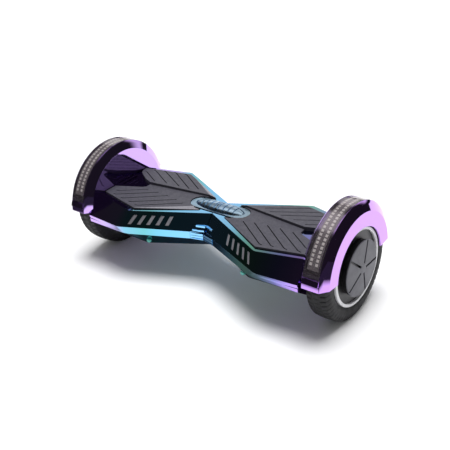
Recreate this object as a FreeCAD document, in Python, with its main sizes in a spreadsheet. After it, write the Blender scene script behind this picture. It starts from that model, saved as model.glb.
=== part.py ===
"""Self balancing hoverboard, in millimetres.

X runs along the board from the left wheel to the right, -Y is the front and +Z is up. The origin lies
on the ground, under the middle of the board. Most sub-parts are drawn for the right half and mirrored
in the plane X = 0 for the left half.
"""

import FreeCAD, Part
import math
import os

import Sketcher
from FreeCAD import Placement, Rotation, Vector

SHEET_NAME = "Dim"
ALONG_X = Rotation(Vector(0, 1, 0), 90)
UPRIGHT = Rotation()

DIMENSIONS = {
    # wheels
    "axle_height": 101.0,
    "tyre_radius": 101.0,
    "tyre_inner": 249.8,
    "tyre_outer": 294.5,
    "bead_radius": 74.0,
    "axle_radius": 8.0,
    "axle_start": 198.0,
    "stator_radius": 58.0,
    "ring_inner": 66.5,
    "cap_radius": 52.0,
    "cap_face": 304.0,
    "cap_dome": 3.0,
    "cap_slots": 5,
    # fenders
    "fender_inner": 245.0,
    "fender_outer": 300.0,
    "fender_radius": 117.0,
    "fender_face_radius": 100.6,
    "fender_opening": 73.5,
    "fender_wall": 2.8,
    "fender_sweep": 171.0,
    "lens_inner": 257.0,
    "lens_outer": 288.0,
    "lens_sweep": 150.0,
    # shells, right half: the waist is at the split, the end at the fender
    "split_gap": 0.75,
    "wall": 3.0,
    "rim_height": 137.0,
    "rim_waist": 24.4,
    "rim_corner_x": 147.0,
    "rim_corner_y": 95.5,
    "rim_end": 72.0,
    "part_height": 109.0,
    "part_waist": 51.5,
    "part_corner_x": 161.8,
    "part_corner_y": 118.6,
    "part_end": 112.0,
    "skirt_height": 94.0,
    "skirt_corner_x": 149.0,
    "skirt_corner_y": 112.8,
    "skirt_end": 110.5,
    "belly_height": 67.0,
    "belly_waist": 20.0,
    "belly_corner_x": 121.5,
    "belly_corner_y": 82.5,
    "belly_end": 75.0,
    # foot pads
    "pad_top": 140.0,
    "pad_step_top": 145.0,
    "pad_flange_bottom": 130.6,
    "pad_flange_top": 133.6,
    # centre cover
    "oval_half": 46.0,
    "oval_radius": 20.0,
    "barrel_top": 146.5,
    "barrel_half": 55.0,
    "barrel_width": 17.0,
    "barrel_rise": 10.5,
    # frame
    "frame_top": 101.0,
    "frame_thickness": 6.0,
    "boss_radius": 23.0,
    "shaft_radius": 15.0,
    "shaft_bore": 11.0,
    "bush_radius": 18.0,
    "running_fit": 0.05,
}


class Size:
    """A length that keeps both its value and the sheet expression that gives it."""

    def __init__(self, value, text):
        self.value = value
        self.text = text

    def __add__(self, other):
        other = as_size(other)
        return Size(self.value + other.value, f"({self.text} + {other.text})")

    def __sub__(self, other):
        other = as_size(other)
        return Size(self.value - other.value, f"({self.text} - {other.text})")

    def __mul__(self, factor):
        factor = as_size(factor)
        return Size(self.value * factor.value, f"({self.text} * {factor.text})")

    def __neg__(self):
        return Size(-self.value, f"(0 - {self.text})")


def as_size(number):
    if isinstance(number, Size):
        return number
    return Size(float(number), f"({float(number)})")


class Sizes:
    """The driving dimensions, one attribute for each alias of the sheet."""


def make_sheet(document):
    """Write every driving dimension to the sheet and return them as Size attributes."""
    sheet = document.addObject("Spreadsheet::Sheet", SHEET_NAME)
    sizes = Sizes()
    for row, (alias, value) in enumerate(DIMENSIONS.items(), start=1):
        sheet.set(f"A{row}", alias)
        sheet.set(f"B{row}", str(value))
        sheet.setAlias(f"B{row}", alias)
        setattr(sizes, alias, Size(float(value), f"{SHEET_NAME}.{alias}"))
    document.recompute()
    return sizes


doc = FreeCAD.newDocument("hoverboard")
D = make_sheet(doc)
subparts = []


# ---------------------------------------------------------------- helpers: document objects


def bind(thing, name, size):
    thing.setExpression(name, as_size(size).text)


def bind_base(thing, x, y, z):
    for axis, size in zip("xyz", (x, y, z)):
        bind(thing, f".Placement.Base.{axis}", size)


def keep(thing, label):
    """Give a finished sub-part its label, which names its file."""
    thing.Label = label
    subparts.append(thing)
    return thing


def box(low, high):
    """A box between two corners."""
    low = [as_size(v) for v in low]
    high = [as_size(v) for v in high]
    solid = doc.addObject("Part::Box", "Box")
    for name, start, end in zip(("Length", "Width", "Height"), low, high):
        bind(solid, name, end - start)
    bind_base(solid, *low)
    return solid


def rod(start, length, radius, turn=ALONG_X):
    """A cylinder from its start point, along X unless turned."""
    solid = doc.addObject("Part::Cylinder", "Rod")
    bind(solid, "Radius", radius)
    bind(solid, "Height", length)
    solid.Placement = Placement(Vector(), turn)
    bind_base(solid, *start)
    return solid


def fuse(parts):
    solid = doc.addObject("Part::MultiFuse", "Fuse")
    solid.Shapes = parts
    return solid


def cut(base, tools):
    solid = doc.addObject("Part::Cut", "Cut")
    solid.Base = base
    solid.Tool = tools[0] if len(tools) == 1 else fuse(tools)
    return solid


def common(first, second):
    solid = doc.addObject("Part::Common", "Common")
    solid.Base = first
    solid.Tool = second
    return solid


def group(parts):
    """Separate solids that share one node."""
    solid = doc.addObject("Part::Compound", "Group")
    solid.Links = parts
    return solid


def tube(start, length, outer, inner):
    bore_start = (as_size(start[0]) - 1, start[1], start[2])
    return cut(rod(start, length, outer), [rod(bore_start, as_size(length) + 2, inner)])


def mirrored(source):
    """The same piece on the other side of the plane X = 0."""
    image = doc.addObject("Part::Mirroring", "Mirror")
    image.Source = source
    image.Base = Vector(0, 0, 0)
    image.Normal = Vector(1, 0, 0)
    return image


def keep_both(thing, name):
    """Keep a right-half piece and its mirror image."""
    keep(thing, f"right_{name}")
    return keep(mirrored(thing), f"left_{name}")


# ---------------------------------------------------------------- helpers: bodies and sketches


def new_body():
    return doc.addObject("PartDesign::Body", "Body")


def origin_item(body, role):
    return next(item for item in body.Origin.OriginFeatures if item.Role == role)


def sketch(body, plane="XY_Plane", offset=0.0, place=None):
    """A sketch on an origin plane, moved along its normal or put at a place of its own."""
    drawing = body.newObject("Sketcher::SketchObject", "Sketch")
    drawing.AttachmentSupport = (origin_item(body, plane), [""])
    drawing.MapMode = "FlatFace"
    if place is None:
        bind(drawing, "AttachmentOffset.Base.z", offset)
    else:
        drawing.AttachmentOffset = place
    return drawing


def pin_point(drawing, edge, end, x, y):
    """Hold one end of a line, or a circle's centre, at sizes from the sheet."""
    for kind, size, axis in (("DistanceX", x, -2), ("DistanceY", y, -1)):
        size = as_size(size)
        if abs(size.value) < 1e-9:
            drawing.addConstraint(Sketcher.Constraint("PointOnObject", edge, end, axis))
            continue
        index = drawing.addConstraint(Sketcher.Constraint(kind, -1, 1, edge, end, size.value))
        bind(drawing, f"Constraints[{index}]", size)


def polygon(drawing, corners):
    """A closed outline of straight lines."""
    corners = [(as_size(x), as_size(y)) for x, y in corners]
    first = drawing.GeometryCount
    count = len(corners)
    for index, (x, y) in enumerate(corners):
        next_x, next_y = corners[(index + 1) % count]
        ends = Vector(x.value, y.value, 0), Vector(next_x.value, next_y.value, 0)
        drawing.addGeometry(Part.LineSegment(*ends))
    for index, (x, y) in enumerate(corners):
        following = first + (index + 1) % count
        drawing.addConstraint(Sketcher.Constraint("Coincident", first + index, 2, following, 1))
        pin_point(drawing, first + index, 1, x, y)


def circle(drawing, x, y, radius):
    radius = as_size(radius)
    centre = Vector(as_size(x).value, as_size(y).value, 0)
    index = drawing.addGeometry(Part.Circle(centre, Vector(0, 0, 1), radius.value))
    pin_point(drawing, index, 3, x, y)
    constraint = drawing.addConstraint(Sketcher.Constraint("Radius", index, radius.value))
    bind(drawing, f"Constraints[{constraint}]", radius)


def pad(body, drawing, length):
    feature = body.newObject("PartDesign::Pad", "Pad")
    feature.Profile = drawing
    bind(feature, "Length", length)
    return feature


def pocket(body, drawing, length, backwards=False):
    """Cut along the sketch's normal reversed, or along the normal when backwards is set."""
    feature = body.newObject("PartDesign::Pocket", "Pocket")
    feature.Profile = drawing
    bind(feature, "Length", length)
    feature.Reversed = backwards
    return feature


def loft(body, sections, kind="PartDesign::AdditiveLoft"):
    feature = body.newObject(kind, "Loft")
    feature.Profile = sections[0]
    feature.Sections = sections[1:]
    feature.Ruled = True
    return feature


def revolve(body, drawing, angle=360.0, kind="PartDesign::Revolution"):
    """Turn a profile about the sketch's horizontal axis, half to each side."""
    feature = body.newObject(kind, "Turn")
    feature.Profile = drawing
    feature.ReferenceAxis = (drawing, ["H_Axis"])
    bind(feature, "Angle", angle)
    feature.Midplane = as_size(angle).value < 360
    return feature


def polar(body, feature, count):
    """Repeat a feature about the body's X axis."""
    pattern = body.newObject("PartDesign::PolarPattern", "Pattern")
    pattern.Originals = [feature]
    pattern.Axis = (origin_item(body, "X_Axis"), [""])
    pattern.Angle = 360
    bind(pattern, "Occurrences", count)
    body.Tip = pattern
    return pattern


def turned_body(profile, angle=360.0):
    """A body turned about the wheel axis; its profile is given as (X, radius) points."""
    body = new_body()
    drawing = sketch(body, "XZ_Plane")
    polygon(drawing, profile)
    doc.recompute()
    revolve(body, drawing, angle)
    bind_base(body, 0, 0, D.axle_height)
    return body


# ---------------------------------------------------------------- shells


def half_outline(waist, corner_x, corner_y, end, cut_in, cut_out, inset=0.0, x_end=None, x_start=None):
    """The plan of one half: waist, two points at the blunted corner, end, and the same behind."""
    x_start = D.split_gap if x_start is None else x_start
    x_end = D.fender_inner if x_end is None else x_end
    front = [
        (x_start, waist - inset * 1.11),
        (corner_x - cut_in * 0.9 - inset * 0.35, corner_y - cut_in * 0.435 - inset),
        (corner_x + cut_out - inset * 0.35, corner_y - cut_out * 0.08 - inset),
        (x_end, end - inset),
    ]
    return [(x, -y) for x, y in front] + [(x, y) for x, y in reversed(front)]


def rim_outline(inset=0.0, **ends):
    return half_outline(D.rim_waist, D.rim_corner_x, D.rim_corner_y, D.rim_end, 2.5, 2.5, inset, **ends)


def part_outline(inset=0.0, **ends):
    return half_outline(D.part_waist, D.part_corner_x, D.part_corner_y, D.part_end, 4, 4, inset, **ends)


def skirt_outline(inset=0.0, **ends):
    return half_outline(D.part_waist, D.skirt_corner_x, D.skirt_corner_y, D.skirt_end, 7, 7, inset, **ends)


def belly_outline(inset=0.0, **ends):
    return half_outline(
        D.belly_waist, D.belly_corner_x, D.belly_corner_y, D.belly_end, 3.5, 4.5, inset, **ends
    )


def plan_sketch(body, height, outline):
    drawing = sketch(body, offset=height)
    polygon(drawing, outline)
    return drawing


def lamp_place(index, depth):
    """The plane of one headlight on the sloping front face, and the face's ruling line in that plane.

    The face is ruled between the parting line and the rim and twists a little on its way from the
    waist to the corner, so every lamp has a plane of its own: local X runs away from the waist,
    local Y up the slope and local Z out of the face. The ruling runs from the parting line up."""
    share = LAMP_FIRST + index * LAMP_STEP
    rim_run = Vector(D.rim_corner_x.value, -(D.rim_corner_y.value - D.rim_waist.value), 0)
    part_run = Vector(D.part_corner_x.value, -(D.part_corner_y.value - D.part_waist.value), 0)
    rim = Vector(0, -D.rim_waist.value, D.rim_height.value) + rim_run * share
    part = Vector(0, -D.part_waist.value, D.part_height.value) + part_run * share
    ruling = rim - part
    run = (rim_run + part_run).normalize()
    outward = run.cross(ruling).normalize()
    up = outward.cross(run)
    place = Placement(rim - outward * depth, Rotation(run, up, outward, "XYZ"))
    return place, (ruling.dot(run), ruling.dot(up))


LAMP_COUNT = 5
# place of the first lamp and step to the next, as shares of the way from the waist to the corner
LAMP_FIRST = 0.452
LAMP_STEP = 0.1085
LAMP_HALF = 3.9
# shares of the slope, from the rim down; each lamp reaches a little lower than the one before
LAMP_TOP = 0.24
LAMP_BOTTOM = 0.775
LAMP_SINK = 0.0125


def face_outline(ruling, bottom, top, half, margin=0.0):
    """Four corners between two shares of the slope, with sides along the ruling line."""
    lean, rise = ruling
    half -= margin
    low_x, low_y = -lean * bottom, -rise * bottom + margin
    high_x, high_y = -lean * top, -rise * top - margin
    return [(low_x - half, low_y), (low_x + half, low_y), (high_x + half, high_y), (high_x - half, high_y)]


def lamp_sketch(body, index, margin, depth):
    """One lamp's outline, at a depth under the face."""
    place, ruling = lamp_place(index, depth)
    drawing = sketch(body, place=place)
    polygon(drawing, face_outline(ruling, LAMP_BOTTOM + LAMP_SINK * index, LAMP_TOP, LAMP_HALF, margin))
    return drawing


PAD_GAP = 0.6
PAD_TRAVEL = 2.0
WAIST_BLOCK = 27.0


def pad_opening():
    """The deck opening of one half: both pads, drawn a little larger than they are."""
    gap = PAD_GAP
    return [
        (30 - gap, -26.0 - gap),
        (143, -86 - gap * 1.3),
        (D.fender_inner + 2, -62 - gap),
        (D.fender_inner + 2, -34 + gap),
        (191, -10 + gap),
        (186 - gap, -5),
        (186 - gap, 7.5),
        (204, 15 - gap),
        (235, 37 - gap),
        (243 + gap, 50),
        (D.fender_inner + 2, 61 + gap),
        (143, 86 + gap * 1.3),
        (30 - gap, 26 + gap),
    ]


def oval_cut(body, height, radius, depth):
    """Cut the oval seat of the centre cover, a slot with a round end."""
    bar = sketch(body, offset=height)
    polygon(bar, [(-5, -radius), (D.oval_half, -radius), (D.oval_half, radius), (-5, radius)])
    pocket(body, bar, depth)
    end = sketch(body, offset=height)
    circle(end, D.oval_half, 0, radius)
    pocket(body, end, depth)


def waist_notch(body):
    """Cut the front and rear notches that the waist grilles fill."""
    for side in (-1, 1):
        notch = sketch(body, offset=120)
        near = 36.0 * side
        far = 80.0 * side
        polygon(notch, [(-1, near), (WAIST_BLOCK, near), (WAIST_BLOCK, far), (-1, far)])
        pocket(body, notch, 36)


def pivot_bore(body):
    """Cut the round opening that the pivot boss passes at the split."""
    bore = sketch(body, "YZ_Plane", 0)
    circle(bore, 0, D.axle_height, D.boss_radius + 0.6)
    pocket(body, bore, 6, True)


GRILLE_SLOTS = ((-209, 4, 7), (-219, -3, 14), (-229, -9, 20), (-239, -15, 26))


def make_top_shell():
    body = new_body()
    rim = plan_sketch(body, D.rim_height, rim_outline())
    part = plan_sketch(body, D.part_height, part_outline())
    loft(body, [part, rim])
    doc.recompute()
    ends = {"x_end": D.fender_inner - D.wall, "x_start": D.split_gap + D.wall}
    inner_rim = plan_sketch(body, D.rim_height - D.wall, rim_outline(1.9, **ends))
    inner_part = plan_sketch(body, D.part_height - 1, part_outline(3.4, **ends))
    loft(body, [inner_part, inner_rim], "PartDesign::SubtractiveLoft")
    doc.recompute()
    opening = plan_sketch(body, D.rim_height + 1, pad_opening())
    pocket(body, opening, D.rim_height + 1 - D.pad_flange_bottom + PAD_TRAVEL + 0.4)
    oval_cut(body, D.rim_height + 1, D.oval_radius + 0.3, 6)
    slots = sketch(body, offset=D.rim_height + 1)
    for x, low, high in GRILLE_SLOTS:
        polygon(slots, [(-x - 1.6, low), (-x + 1.6, low), (-x + 1.6, high), (-x - 1.6, high)])
    pocket(body, slots, 6)
    for index in range(LAMP_COUNT):
        pocket(body, lamp_sketch(body, index, 0.0, -4.0), 9)
        doc.recompute()
    waist_notch(body)
    pivot_bore(body)
    doc.recompute()
    return body


SCREW_PLACES = ((58, 24), (58, -24), (150, 60), (150, -60), (218, 60), (218, -60))
STRIP_GROOVE = (101.0, 104.6)
GROOVE_DEPTH = 1.8


def strip_groove_sketch(body, mirror):
    """The long groove of the outer skirt, in an upright plane just off its face."""
    start = Vector(D.part_corner_x.value, -D.part_corner_y.value * mirror, 0)
    end = Vector(D.fender_inner.value, -D.part_end.value * mirror, 0)
    run = (end - start).normalize()
    outward = Vector(run.y, -run.x, 0) * mirror
    up = Vector(0, 0, 1)
    place = Placement(start + outward * 3, Rotation(run, up, run.cross(up), "XYZ"))
    drawing = sketch(body, place=place)
    length = (end - start).Length
    low, high = STRIP_GROOVE
    polygon(drawing, [(7, low), (length + 6, low), (length + 6, high), (7, high)])
    return drawing


def make_bottom_shell():
    body = new_body()
    part = plan_sketch(body, D.part_height - 0.3, part_outline())
    skirt = plan_sketch(body, D.skirt_height, skirt_outline())
    belly = plan_sketch(body, D.belly_height, belly_outline())
    loft(body, [belly, skirt, part])
    doc.recompute()
    ends = {"x_end": D.fender_inner - D.wall, "x_start": D.split_gap + D.wall}
    inner_part = plan_sketch(body, D.part_height + 1, part_outline(3.2, **ends))
    inner_skirt = plan_sketch(body, D.skirt_height, skirt_outline(3.4, **ends))
    inner_belly = plan_sketch(body, D.belly_height + D.wall, belly_outline(2.6, **ends))
    loft(body, [inner_belly, inner_skirt, inner_part], "PartDesign::SubtractiveLoft")
    doc.recompute()
    waist_notch(body)
    pivot_bore(body)
    axle_hole = sketch(body, "YZ_Plane", D.fender_inner - 6)
    circle(axle_hole, 0, D.axle_height, 13)
    pocket(body, axle_hole, 9, True)
    screws = sketch(body, offset=D.belly_height)
    heads = sketch(body, offset=D.belly_height)
    for x, y in SCREW_PLACES:
        circle(screws, x, y, 2.1)
        circle(heads, x, y, 4.0)
    pocket(body, screws, 5, True)
    pocket(body, heads, 1.2, True)
    doc.recompute()
    return body


def finish_shells():
    """The two shells, with the rear port opening in the right lower one only."""
    keep_both(make_top_shell(), "top_shell")
    plain = make_bottom_shell()
    grooves = [strip_groove_tool(1), strip_groove_tool(-1)]
    shell = cut(plain, grooves)
    keep(mirrored(shell), "left_bottom_shell")
    port = box((PORT_LEFT, 95, PORT_LOW), (PORT_RIGHT, 130, PORT_HIGH))
    keep(cut(shell, [port]), "right_bottom_shell")


def strip_groove_tool(mirror):
    """The bar that cuts the skirt's long groove, front (1) or rear (-1)."""
    body = new_body()
    drawing = strip_groove_sketch(body, mirror)
    depth = 3 + GROOVE_DEPTH
    feature = pad(body, drawing, depth)
    feature.Reversed = mirror > 0
    return body


# ---------------------------------------------------------------- waist grille

FINS = (
    # low, high, reach at the split, reach at the outer edge, width from the split
    (116.3, 119.6, 47.7, 52.3, 19.0),
    (109.6, 112.8, 51.7, 59.2, 23.3),
)
# the stepped block under the fins, from its lip up: low, high and how far each step is set back
BLOCK_STEPS = (
    (94.2, 95.8, 0.0),
    (95.8, 97.4, 2.0),
    (97.4, 101.6, 0.0),
    (101.6, 102.6, 0.8),
    (102.6, 107.0, 0.0),
)
BLOCK_REACH = (56.0, 62.4)
BLOCK_FOOT = (45.6, 52.0)
BLOCK_WIDTH = 26.0


def shell_solid():
    """The outer form of one half, with no hollow."""
    body = new_body()
    belly = plan_sketch(body, D.belly_height, belly_outline())
    skirt = plan_sketch(body, D.skirt_height, skirt_outline())
    part = plan_sketch(body, D.part_height, part_outline())
    rim = plan_sketch(body, D.rim_height, rim_outline())
    loft(body, [belly, skirt, part, rim])
    doc.recompute()
    return body


def fin_outline(side, reach, width):
    """A fin's plan: it reaches out from inside the shell, further at its outer edge."""
    inner, outer = reach
    near = 40 * side
    return [(D.split_gap, near), (width, near), (width, outer * side), (D.split_gap, inner * side)]


def make_waist_grille(side, form):
    """Fins and a stepped block in front (side -1) or behind (side 1), on a core flush with the shells."""
    clear = WAIST_BLOCK - 0.3
    low, high = sorted((36.3 * side, 80 * side))
    core = common(form, box((D.split_gap, low, 84.3), (clear, high, 119.7)))
    body = new_body()
    for bottom, top, inner, outer, width in FINS:
        fin = sketch(body, offset=bottom)
        polygon(fin, fin_outline(side, (inner, outer), width))
        pad(body, fin, top - bottom)
    steps = new_body()
    for bottom, top, back in BLOCK_STEPS:
        inner, outer = BLOCK_REACH
        step = sketch(steps, offset=bottom)
        polygon(step, fin_outline(side, (inner - back, outer - back), BLOCK_WIDTH))
        pad(steps, step, top - bottom)
    doc.recompute()
    foot = new_body()
    sections = []
    for height, reach in ((84.4, BLOCK_FOOT), (BLOCK_STEPS[0][0], BLOCK_REACH)):
        sections.append(plan_sketch(foot, height, fin_outline(side, reach, BLOCK_WIDTH)))
    loft(foot, sections)
    doc.recompute()
    return fuse([core, body, steps, foot])


# ---------------------------------------------------------------- centre cover


BEZEL_SEAT = 3.4
BEZEL_RISE = 1.5
BEZEL_FLOOR = 1.4
CHANNEL = 2.0
BARREL_WALL = 2.5
VALLEY_DEPTH = 2.2
RIBS = ((-1.0, 3.2), (5.8, 14.4), (17.0, 25.6), (28.2, 36.8), (39.4, 60.0))


def oval_prism(radius, low, height):
    """Half of an oval plate with a round end, cut off at the split."""
    bar = box((D.split_gap, -radius, low), (D.oval_half, radius, as_size(low) + height))
    return fuse([bar, rod((D.oval_half, 0, low), height, radius, UPRIGHT)])


def barrel(growth):
    """The cigar-shaped form of the barrel, grown or shrunk all round."""
    form = doc.addObject("Part::Ellipsoid", "Barrel")
    bind(form, "Radius1", D.barrel_rise + growth)
    bind(form, "Radius2", D.barrel_half + growth)
    bind(form, "Radius3", D.barrel_width + growth)
    form.Angle1 = -90
    form.Angle2 = 90
    form.Angle3 = 360
    bind_base(form, 0, 0, D.barrel_top - D.barrel_rise)
    return form


def make_center_cover():
    """Half of the oval bezel with its ribbed barrel, cut off at the split."""
    low = D.rim_height - BEZEL_SEAT
    bezel = cut(oval_prism(D.oval_radius, low, BEZEL_SEAT + BEZEL_RISE), [barrel(CHANNEL)])
    floor = oval_prism(D.oval_radius, low, BEZEL_FLOOR)
    ribs = [box((start, -30, low), (end, 30, 160)) for start, end in RIBS]
    dome = fuse([barrel(-VALLEY_DEPTH), common(barrel(0.0), fuse(ribs))])
    upper = box((D.split_gap, -30, low), (70, 30, 160))
    cover = fuse([bezel, floor, common(dome, upper)])
    return cut(cover, [barrel(-VALLEY_DEPTH - BARREL_WALL)])


# ---------------------------------------------------------------- foot pads


def step_y(x):
    """The seam between the pads: it runs from the oval to the notch by the fender."""
    return 23.6 - (x - 45.0) * (23.6 - 7.1) / (184.0 - 45.0)


def front_pad_outline():
    seam = -0.5
    return [
        (31, -25.2),
        (31, -26.4),
        (143, -86),
        (243.4, -62),
        (243.4, -33.5),
        (191, -10.2),
        (184.8, -5),
        (184.2, step_y(184.2) + seam),
        (44, step_y(44) + seam),
        (44, -25.2),
    ]


def back_pad_outline():
    seam = 0.5
    return [
        (31, 26.4),
        (31, step_y(31) + seam),
        (184.6, step_y(184.6) + seam),
        (204, 15.6),
        (235, 37.6),
        (242.6, 50.5),
        (243.4, 61),
        (143, 86),
    ]


def flange_outline(side):
    """The lip under the deck that keeps a pad in, along its outer edge."""
    y = side
    return [
        (34, 29.0 * y),
        (143.6, 88.3 * y),
        (241.2, 64.4 * y),
        (241.2, 52 * y),
        (142, 76 * y),
        (50, 28 * y),
    ]


def pad_blank(outline, side, top):
    body = new_body()
    low = sketch(body, offset=D.pad_flange_bottom)
    polygon(low, flange_outline(side))
    pad(body, low, D.pad_flange_top - D.pad_flange_bottom)
    block = sketch(body, offset=D.pad_flange_bottom)
    polygon(block, outline)
    pad(body, block, top - D.pad_flange_bottom)
    return body


def slope_cut(body, reach, profile, angle=0.0, pivot=Vector(0, 0, 0)):
    """Cut away what lies above a profile drawn across the pad."""
    place = Placement(pivot, Rotation(Vector(0, 0, 1), angle).multiply(Rotation(Vector(1, 1, 1), 120)))
    drawing = sketch(body, place=place)
    polygon(drawing, profile)
    feature = pocket(body, drawing, reach)
    feature.Midplane = True
    return feature


# the outer edge of the back pad, from beside the oval to the corner, and the line where its bevel starts
BACK_EDGE = ((31, 26.4), (143, 86))
BACK_BEVEL = [(20, 131.8), (-4, 143.4), (-4, 160), (20, 160)]
# the front pad's bevel is wide beside the oval and runs out at the corner, where this line starts
FRONT_BEVEL_CORNER = Vector(143, -85.5, 0)
FRONT_BEVEL_ANGLE = -33.0
FRONT_BEVEL = [(-30, 134.9), (0, 140.001), (0, 150), (-30, 150)]


def back_edge_angle():
    (near_x, near_y), (far_x, far_y) = BACK_EDGE
    return math.degrees(math.atan2(far_y - near_y, far_x - near_x))


def make_front_pad():
    body = pad_blank(front_pad_outline(), -1, D.pad_top)
    doc.recompute()
    slope_cut(body, 500, FRONT_BEVEL, FRONT_BEVEL_ANGLE, FRONT_BEVEL_CORNER)
    oval_cut(body, D.pad_top + 1, D.oval_radius + 0.9, 15)
    doc.recompute()
    return body


def make_back_pad():
    body = pad_blank(back_pad_outline(), 1, D.pad_step_top + 1)
    doc.recompute()
    slope_cut(body, 600, [(0, 145.6), (90, 138.3), (90, 160), (0, 160)])
    near_x, near_y = BACK_EDGE[0]
    slope_cut(body, 500, BACK_BEVEL, back_edge_angle(), Vector(near_x, near_y - 4, 0))
    oval_cut(body, D.pad_step_top + 2, D.oval_radius + 0.9, 20)
    doc.recompute()
    return body


# ---------------------------------------------------------------- fender and its light


def make_fender():
    inner = D.fender_inner
    outer = D.fender_outer
    wall = D.fender_wall
    radius = D.fender_radius
    profile = [
        (outer, D.fender_opening),
        (outer, D.fender_face_radius),
        (outer - 10, radius - 1),
        (outer - 11.5, radius),
        (D.lens_outer + 0.2, radius),
        (D.lens_outer + 0.2, radius - 2.8),
        (D.lens_inner - 0.2, radius - 2.8),
        (D.lens_inner - 0.2, radius),
        (inner + 11, radius),
        (inner + 10, radius - 1),
        (inner, D.fender_face_radius + 1),
        (inner, 13),
        (inner + wall, 13),
        (inner + wall, D.fender_face_radius),
        (inner + 11.5, radius - 4.6),
        (outer - 11.8, radius - 4.6),
        (outer - wall, D.fender_face_radius - 1),
        (outer - wall, D.fender_opening),
    ]
    arch = turned_body(profile, D.fender_sweep)
    ends = []
    for side in (-1, 1):
        angle = (180 - D.lens_sweep.value) / 2
        low = turned_body(
            [
                (D.lens_inner - 0.3, radius - 3.2),
                (D.lens_outer + 0.3, radius - 3.2),
                (D.lens_outer + 0.3, radius),
                (D.lens_inner - 0.3, radius),
            ],
            angle - (180 - D.fender_sweep.value) / 2,
        )
        middle = (angle + (180 - D.fender_sweep.value) / 2) / 2
        low.Placement = Placement(Vector(), Rotation(Vector(1, 0, 0), side * (90 - middle)))
        bind_base(low, 0, 0, D.axle_height)
        ends.append(low)
        ends.append(strip_end(side))
    return fuse([arch] + ends)


STRIP_END_TOP = 130.6
STRIP_END_BOTTOM = 121.0


def strip_end(side):
    """The flat-faced block that closes the light strip, at the front or the rear."""
    body = new_body()
    drawing = sketch(body, "YZ_Plane", D.lens_inner - 0.3)
    polygon(
        drawing,
        [
            (111 * side, STRIP_END_TOP),
            (114.5 * side, STRIP_END_TOP),
            (118.0 * side, STRIP_END_BOTTOM),
            (112.6 * side, STRIP_END_BOTTOM),
        ],
    )
    pad(body, drawing, D.lens_outer - D.lens_inner + 0.6)
    return body


def band(inner_x, outer_x, low, high, sweep):
    return turned_body([(inner_x, low), (outer_x, low), (outer_x, high), (inner_x, high)], sweep)


def make_fender_light():
    radius = D.fender_radius
    sweep = D.lens_sweep - 0.6
    keep_both(band(D.lens_inner, D.lens_outer, radius - 1.3, radius + 0.3, sweep), "fender_light_lens")
    board = band(D.lens_inner + 5, D.lens_outer - 5, radius - 2.7, radius - 1.6, D.lens_sweep - 14)
    keep_both(board, "fender_light_board")


# ---------------------------------------------------------------- headlights


def make_headlights():
    lenses = []
    for index in range(LAMP_COUNT):
        lens = new_body()
        block = pad(lens, lamp_sketch(lens, index, 0.3, 0.8), 1.8)
        block.Reversed = True
        lenses.append(lens)
    keep_both(group(lenses), "headlight_lens")
    board = new_body()
    place, ruling = lamp_place(LAMP_COUNT // 2, 7.0)
    drawing = sketch(board, place=place)
    polygon(drawing, face_outline(ruling, LAMP_BOTTOM, LAMP_TOP, 42))
    pad(board, drawing, 1.6)
    keep_both(board, "headlight_board")


# ---------------------------------------------------------------- frame and what it carries


POST_PLACES = ((84, -40), (120, -40), (84, 44), (120, 44))
GYRO_POSTS = ((56, -22), (56, 22))
BOLT_PLACES = ((207, -18), (229, -18), (207, 18), (229, 18))
RIB_FOOT = 74.0
SENSOR_LIFT = 22.7
GYRO_LIFT = 25.0


def make_frame():
    """The cast chassis of one half: plate, pivot boss, axle saddle, posts and screw feet."""
    body = new_body()
    low = D.frame_top - D.frame_thickness
    plate = sketch(body, offset=low)
    polygon(
        plate,
        [(14, -26), (60, -34), (128, -74), (236, -74), (236, 74), (128, 74), (60, 34), (14, 26)],
    )
    pad(body, plate, D.frame_thickness)
    doc.recompute()
    bay = sketch(body, offset=D.frame_top)
    polygon(bay, [(150, -56), (190, -56), (190, -36), (150, -36)])
    polygon(bay, [(150, 56), (190, 56), (190, 36), (150, 36)])
    pocket(body, bay, D.frame_thickness)
    boss = sketch(body, "YZ_Plane", 8)
    circle(boss, 0, D.axle_height, D.boss_radius)
    pad(body, boss, 38)
    foot = D.belly_height + D.wall + 0.05
    ends = sketch(body, offset=foot)
    for x, y in SCREW_PLACES:
        circle(ends, x, y, 5)
    pad(body, ends, low + 0.1 - foot)
    posts = sketch(body, offset=D.frame_top - 0.1)
    for x, y in POST_PLACES:
        circle(posts, x, y, 3.5)
    pad(body, posts, SENSOR_LIFT)
    stands = sketch(body, offset=D.frame_top - 0.1)
    for x, y in GYRO_POSTS:
        circle(stands, x, y, 3.5)
    pad(body, stands, GYRO_LIFT)
    ribs = sketch(body, offset=RIB_FOOT)
    for y in (-48, 48):
        polygon(ribs, [(84, y - 3), (236, y - 3), (236, y + 3), (84, y + 3)])
    pad(body, ribs, low + 0.1 - RIB_FOOT)
    doc.recompute()
    saddle = sketch(body, offset=86)
    polygon(saddle, [(200, -26), (236, -26), (236, 26), (200, 26)])
    pad(body, saddle, low - 85.9)
    doc.recompute()
    bore = sketch(body, "YZ_Plane", 0)
    circle(bore, 0, D.axle_height, D.bush_radius)
    pocket(body, bore, 60, True)
    groove = sketch(body, "YZ_Plane", 190)
    circle(groove, 0, D.axle_height, D.axle_radius)
    pocket(body, groove, 60, True)
    holes = sketch(body, offset=D.frame_top + 0.2)
    for x, y in BOLT_PLACES:
        circle(holes, x, y, 3.0)
    pocket(body, holes, 20)
    studs = sketch(body, offset=foot)
    for x, y in SCREW_PLACES:
        circle(studs, x, y, 1.9)
    pocket(body, studs, 14, True)
    doc.recompute()
    return body


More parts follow.
